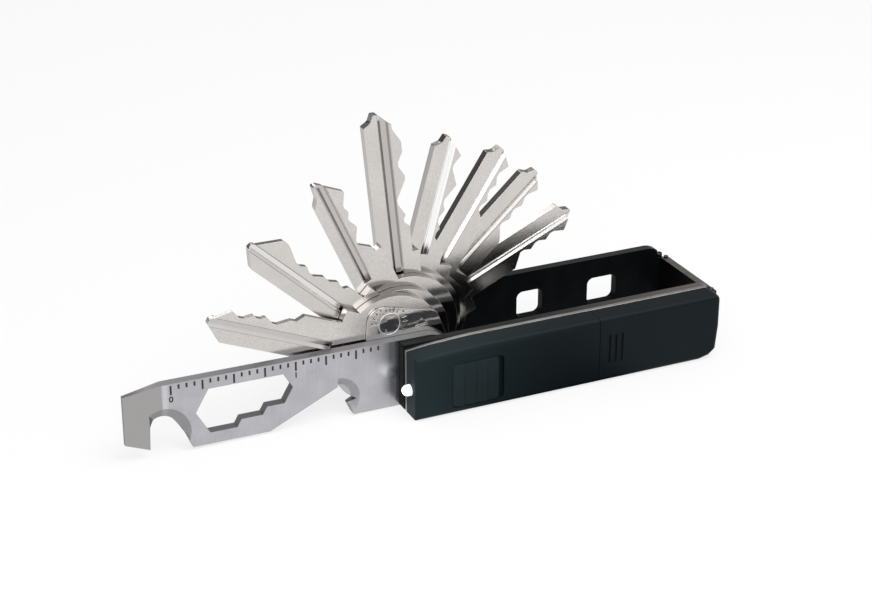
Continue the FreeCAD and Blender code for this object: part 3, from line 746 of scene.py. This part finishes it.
for name, node in nodes.items():
    if name.startswith("key_"):
        chosen = "key" + name[-1]
    else:
        chosen = nodeFinish.get(name, slotFinish.get(slots[name]))
    node.data.materials.clear()
    node.data.materials.append(finishes[chosen])
print("finishes made:", len(finishes))


# pieces
merging = {"gap": 0.0008, "flatTurn": 0.6}
rounding = {"segments": 2, "turn": 24, "flatWeight": 100}


def bodyOf(node):
    for body, members in frame["record"]["behaviour"]["bodies"].items():
        if node in members:
            return body


def mergedShape(node):
    # a copy of the node's triangles, joined up into flat faces
    bm = bmesh.new()
    bm.from_mesh(nodes[node].data)
    bmesh.ops.remove_doubles(bm, verts=bm.verts, dist=merging["gap"] * mm)
    bmesh.ops.dissolve_limit(bm, angle_limit=radians(merging["flatTurn"]), verts=bm.verts, edges=bm.edges)
    return bm


def standIn(bm, node, width, segments=rounding["segments"]):
    # the shape takes the node's place, with its sharp edges rounded over
    mesh = meshFrom(bm, node + ".soft")
    mesh.materials.append(nodes[node].data.materials[0])
    mesh.shade_smooth()
    made = addObject(node + ".soft", mesh)
    bevel = made.modifiers.new("edges", "BEVEL")
    bevel.width = width * mm
    bevel.segments = segments
    bevel.limit_method = "ANGLE"
    bevel.angle_limit = radians(rounding["turn"])
    bevel.use_clamp_overlap = True
    # flat faces stay flat to their borders; only the roundings between them are shaded round
    evened = made.modifiers.new("flats", "WEIGHTED_NORMAL")
    evened.mode = "FACE_AREA"
    evened.weight = rounding["flatWeight"]
    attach(made, bodyOf(node))
    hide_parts(node)


edgeWidths = {
    "near_side_plate": 0.12, "far_side_plate": 0.12, "end_bridge": 0.15,
    "light_housing": 0.1, "battery_cover": 0.1, "slide_switch": 0.08,
    "hub_disc": 0.05, "pivot_screw": 0.1, "light_base_plate": 0.08,
}
for name, width in edgeWidths.items():
    standIn(mergedShape(name), name, width)
print("edges rounded:", len(edgeWidths), "pieces")

keyShape = {"edge": 0.11, "toothRound": 0.4, "toothSteps": 3, "toothReach": 22.0, "toothTurn": 18}
straight = 0.99  # cosine past which an edge or a face counts as lying along an axis


def makeKey(index, key, spec):
    # the cutter leaves round-bottomed cuts, so the corners between its slopes are rounded off
    node = "key_" + str(index)
    bm = mergedShape(node)
    lean = radians(key["lean"])
    blade = Vector((cos(lean), 0, sin(lean)))
    pivot = Vector((0, 0, pivotHeight * mm))
    corners = []
    for edge in bm.edges:
        first, second = (v.co for v in edge.verts)
        through = abs((second - first).normalized().y) > straight
        out = ((first + second) / 2 - pivot).dot(blade)
        if through and out > spec["toothReach"] * mm and len(edge.link_faces) == 2:
            if edge.calc_face_angle(0) > radians(spec["toothTurn"]):
                corners.append(edge)
    bmesh.ops.bevel(bm, geom=corners, offset=spec["toothRound"] * mm, offset_type="OFFSET", affect="EDGES",
                    segments=spec["toothSteps"], profile=0.5, clamp_overlap=True, material=-1)
    standIn(bm, node, spec["edge"])
    return len(corners)


for index, key in enumerate(keySpecs, 1):
    count = makeKey(index, key, keyShape)
    print("key", index, "rounded corners:", count)

toolShape = {"edge": 0.17}
standIn(mergedShape("multitool"), "multitool", toolShape["edge"])

pinShape = {"edge": 0.12, "rim": 0.28, "sink": 0.3, "sinkSlope": 0.02, "capDepth": 0.01}


def makePins(spec):
    # flat-headed pins with a sunk middle
    bm = mergedShape("bridge_pins")
    top = max(v.co.z for v in bm.verts)
    lowest = top - spec["capDepth"] * mm
    caps = [f for f in bm.faces if f.normal.z > straight and f.calc_center_median().z > lowest]
    bmesh.ops.inset_individual(bm, faces=caps, thickness=spec["rim"] * mm, depth=0)
    bmesh.ops.inset_individual(bm, faces=caps, thickness=spec["sinkSlope"] * mm, depth=-spec["sink"] * mm)
    standIn(bm, "bridge_pins", spec["edge"], segments=1)


makePins(pinShape)
print("bridge pins sunk")

# ruler on the multitool, measured from the pivot towards the tip and up from the pivot's height
ruler = {
    "zero": 53.53, "step": 1.5875, "count": 28, "longEvery": 4,
    "top": 6.95, "short": 0.92, "long": 1.95, "width": 0.4, "proud": 0.012, "lean": 0.5,
    "numbers": [("0", 53.53, 4.7), ("1", 28.13, 4.75)], "numberHeight": 1.25, "numberWeight": 0.05,
    "capHeight": 0.72,  # of a font's letters, as a share of its size
}
upright = Matrix.Rotation(pi / 2, 4, "X")


def onTool(spec):
    # from the ruler's own plane to the front face of the leaning tool
    front = Matrix.Translation((0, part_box("multitool")[0].y, pivotHeight * mm))
    return front @ Matrix.Rotation(radians(spec["lean"]), 4, "Y")


def finishMark(name, mesh):
    mesh.materials.clear()
    mesh.materials.append(finishes["ink"])
    made = addObject(name, mesh)
    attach(made, "multitool")


def makeRuler(spec):
    bm = bmesh.new()
    for mark in range(spec["count"]):
        reach = spec["long"] if mark % spec["longEvery"] == 0 else spec["short"]
        made = bmesh.ops.create_grid(bm, x_segments=1, y_segments=1, size=0.5)  # a unit square
        size = Matrix.Diagonal((spec["width"] * mm, reach * mm, 1, 1))
        length = spec["zero"] - mark * spec["step"]
        place = Matrix.Translation((-length * mm, 0, (spec["top"] - reach / 2) * mm))
        bmesh.ops.transform(bm, matrix=place @ upright @ size, verts=made["verts"])
    grown = bmesh.ops.extrude_face_region(bm, geom=bm.faces[:])
    out = [v for v in grown["geom"] if isinstance(v, bmesh.types.BMVert)]
    bmesh.ops.translate(bm, verts=out, vec=(0, -spec["proud"] * mm, 0))
    bmesh.ops.transform(bm, matrix=onTool(spec), verts=bm.verts)
    bmesh.ops.recalc_face_normals(bm, faces=bm.faces)
    finishMark("rulerMarks", meshFrom(bm, "rulerMarks"))


def makeNumbers(spec):
    for label, length, top in spec["numbers"]:
        data = bpy.data.curves.new("rulerNumber" + label, "FONT")
        data.body = label
        data.align_x = "CENTER"
        data.size = spec["numberHeight"] * mm / spec["capHeight"]
        data.extrude = spec["proud"] * mm
        data.offset = spec["numberWeight"] * mm
        text = addObject("rulerText", data)
        mesh = bpy.data.meshes.new_from_object(text)
        bpy.data.objects.remove(text)
        place = Matrix.Translation((-length * mm, 0, (top - spec["numberHeight"]) * mm))
        mesh.transform(onTool(spec) @ place @ upright)
        finishMark("rulerNumber" + label, mesh)


makeRuler(ruler)
makeNumbers(ruler)
print("ruler marks:", ruler["count"])


def makeMedallion(spec):
    # a plain ring struck in the hub disc
    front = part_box("hub_disc")[0].y
    x, z = spec["centre"]
    bm = bmesh.new()
    inner = spec["radius"] - spec["band"]
    profile = []
    for step in range(spec["roundSteps"] + 1):
        turn = pi * step / spec["roundSteps"]
        radius = inner + spec["band"] * (1 - cos(turn)) / 2
        profile.append(bm.verts.new((radius * mm, -spec["proud"] * sin(turn) * mm, 0)))
    edges = [bm.edges.new(pair) for pair in zip(profile, profile[1:])]
    bmesh.ops.spin(bm, geom=profile + edges, cent=(0, 0, 0), axis=(0, 1, 0), angle=2 * pi,
                   steps=spec["steps"], use_merge=True)
    bmesh.ops.translate(bm, verts=bm.verts, vec=(x * mm, front, (pivotHeight + z) * mm))
    bmesh.ops.recalc_face_normals(bm, faces=bm.faces)
    mesh = meshFrom(bm, "hubRing")
    mesh.shade_smooth()
    mesh.materials.append(finishes["bright"])
    ring = addObject("hubRing", mesh)
    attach(ring, "case")


makeMedallion(medallion)
print("medallion ring struck")

# lamp
lamp = {"steps": 40, "radius": 1.18, "barrel": 0.35, "rise": 1.1, "domeSteps": 8}


def makeLens(spec):
    # a domed lens turned about the lamp's axis
    lo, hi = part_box("led_lens")
    y, z = (lo.y + hi.y) / 2, (lo.z + hi.z) / 2
    bm = bmesh.new()
    back = (hi.x - lo.x) / mm
    outline = [(back, 0), (back, spec["radius"])]
    for step in range(spec["domeSteps"] + 1):
        turn = pi / 2 * step / spec["domeSteps"]
        outline.append((-spec["barrel"] - spec["rise"] * sin(turn), spec["radius"] * cos(turn)))
    profile = [bm.verts.new((along * mm, 0, radius * mm)) for along, radius in outline]
    edges = [bm.edges.new(pair) for pair in zip(profile, profile[1:])]
    bmesh.ops.spin(bm, geom=profile + edges, cent=(0, 0, 0), axis=(1, 0, 0), angle=2 * pi,
                   steps=spec["steps"], use_merge=True)
    bmesh.ops.remove_doubles(bm, verts=bm.verts, dist=merging["gap"] * mm)
    bmesh.ops.translate(bm, verts=bm.verts, vec=(lo.x, y, z))
    bmesh.ops.recalc_face_normals(bm, faces=bm.faces)
    mesh = meshFrom(bm, "ledDome")
    mesh.shade_smooth()
    mesh.materials.append(finishes["lens"])
    dome = addObject("ledDome", mesh)
    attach(dome, "case")
    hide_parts("led_lens")


makeLens(lamp)
print("lamp lens turned")

beam = {"watts": 0.0002, "ahead": 2.4, "radius": 0.8}


def makeBeam(spec):
    # a faint point lamp just ahead of the lens; mirror-like metal neither shows it nor is lit by it
    lo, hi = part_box("led_lens")
    data = bpy.data.lights.new("ledBeam", "POINT")
    data.energy = spec["watts"]
    data.shadow_soft_size = spec["radius"] * mm
    made = addObject("ledBeam", data)
    made.matrix_world = Matrix.Translation((lo.x - spec["ahead"] * mm, (lo.y + hi.y) / 2, (lo.z + hi.z) / 2))
    made.visible_camera = False
    made.visible_glossy = False


makeBeam(beam)
print("lamp lit")
